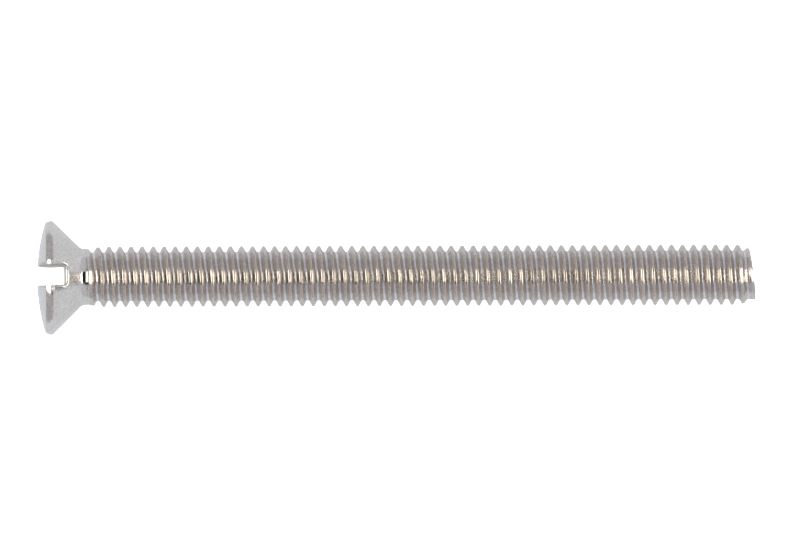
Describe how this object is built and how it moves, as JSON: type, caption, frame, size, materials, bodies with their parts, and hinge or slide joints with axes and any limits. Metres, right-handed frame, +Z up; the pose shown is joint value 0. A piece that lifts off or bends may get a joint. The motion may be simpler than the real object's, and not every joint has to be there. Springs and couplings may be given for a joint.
{
  "type": "slotted raised countersunk machine screw",
  "caption": "Long slotted machine screw with a domed countersunk head and a thread right up to the head; clamps a countersunk part to a tapped hole or a nut.",
  "frame": {"origin": "on the ground the screw lies on, under the middle of its bounding box", "axes": "+X along the screw from the head to the tip, +Y across it, +Z up; the screw lies tip down by about 2.2 degrees, with the driver slot about 1.8 degrees off upright"},
  "size_m": [0.0456, 0.0073, 0.0072],
  "materials": {
    "nickel_plate": "bright nickel plating over rolled steel, dull on the thread flanks, with small nicks and a burred slot"
  },
  "bodies": {
    "root": {"screw": "nickel_plate"}
  },
  "joints": []
}
